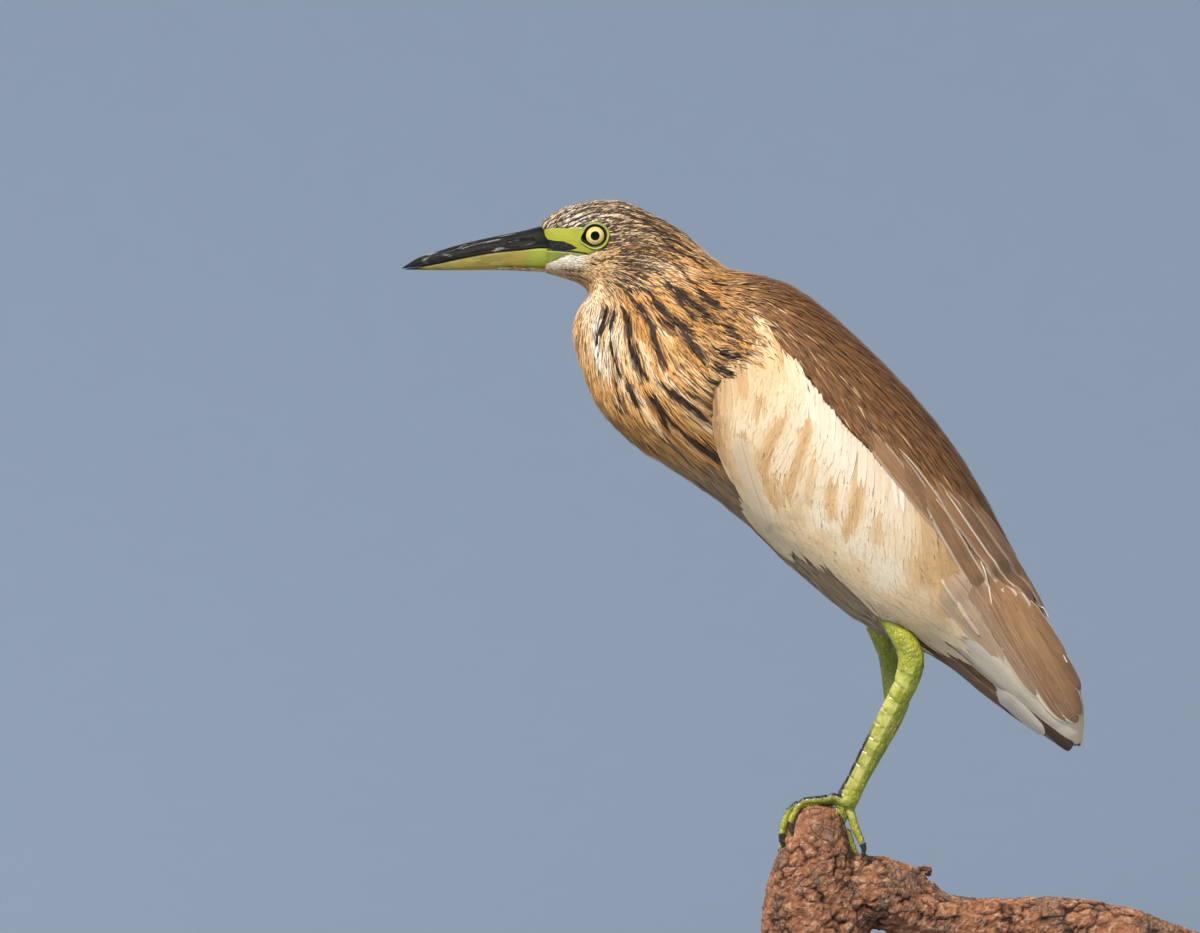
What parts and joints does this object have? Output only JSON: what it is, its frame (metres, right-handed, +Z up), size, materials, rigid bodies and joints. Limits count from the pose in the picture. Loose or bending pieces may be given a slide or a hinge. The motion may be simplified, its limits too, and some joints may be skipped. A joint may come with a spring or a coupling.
{
  "type": "squacco heron model",
  "caption": "Life-size still model of a squacco heron in winter plumage, gripping a cut length of branch on a plain display stand.",
  "frame": {"origin": "middle of the stand's underside", "axes": "+Z up; the bird looks along -X and its left side faces -Y"},
  "size_m": [0.3429, 0.13, 0.3736],
  "materials": {
    "plumage_streaked": "soft feathers, buff with long dark brown streaks",
    "plumage_brown": "soft warm brown feathers of the mantle and the tertials",
    "plumage_white": "cream to white feathers washed with buff",
    "bill_dark": "black horn with pale scratches",
    "bill_pale": "olive yellow horn with a dark tip",
    "iris": "wet yellow iris with a black pupil",
    "leg_skin": "yellow-green scaled skin, blackish on the toes",
    "claw_horn": "dark horn",
    "bark": "fissured reddish-brown bark",
    "stand_wood": "dark satin varnish",
    "stand_steel": "brushed"
  },
  "bodies": {
    "root": {"head": "plumage_streaked", "neck_upper": "plumage_streaked", "neck_lower": "plumage_streaked", "trunk": "plumage_brown", "tail": "plumage_white", "wing_left": "plumage_white", "wing_right": "plumage_white", "flight_feathers_left": "plumage_brown", "flight_feathers_right": "plumage_brown", "thigh_left": "plumage_white", "thigh_right": "plumage_white", "shank_left": "leg_skin", "shank_right": "leg_skin", "tarsus_left": "leg_skin", "tarsus_right": "leg_skin", "foot_left": "leg_skin", "foot_right": "leg_skin", "claw_outer_left": "claw_horn", "claw_middle_left": "claw_horn", "claw_inner_left": "claw_horn", "claw_hind_left": "claw_horn", "claw_outer_right": "claw_horn", "claw_middle_right": "claw_horn", "claw_inner_right": "claw_horn", "claw_hind_right": "claw_horn", "bill_upper": "bill_dark", "bill_lower": "bill_pale", "eye_left": "iris", "eye_right": "iris", "perch": "bark", "stand_base": "stand_wood", "stand_rod_front": "stand_steel", "stand_rod_rear": "stand_steel"}
  },
  "joints": []
}
